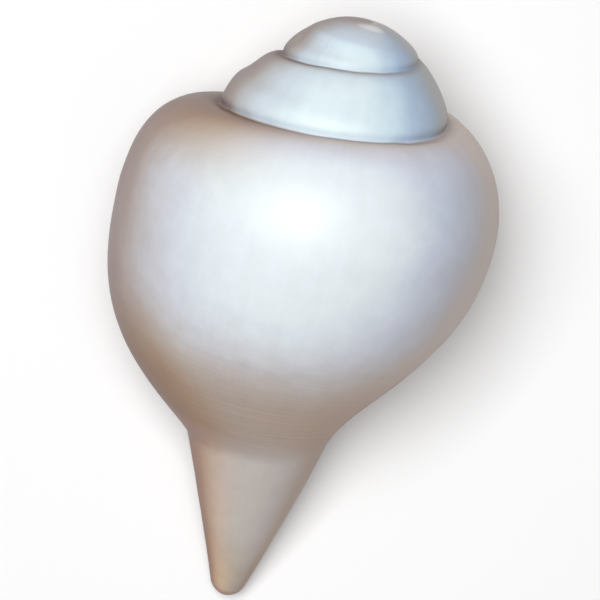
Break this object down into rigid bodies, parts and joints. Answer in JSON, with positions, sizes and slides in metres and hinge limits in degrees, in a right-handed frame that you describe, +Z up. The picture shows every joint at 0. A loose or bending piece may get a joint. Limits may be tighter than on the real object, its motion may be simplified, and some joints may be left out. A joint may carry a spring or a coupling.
{
  "type": "conch shell",
  "caption": "Heavy, smooth conch shell with a low worn spire, a swollen body whorl and a short tapering canal, lying on its open mouth.",
  "frame": {"origin": "middle of the bounding box in plan, on the surface that the shell lies on", "axes": "+Y in plan along the shell, from the tip of the canal to the spire; +Z up, away from the mouth"},
  "size_m": [0.0764, 0.1226, 0.0648],
  "materials": {
    "shell": "smooth, porcelain-like, softly glossy"
  },
  "bodies": {
    "root": {"shell": "shell"}
  },
  "joints": []
}
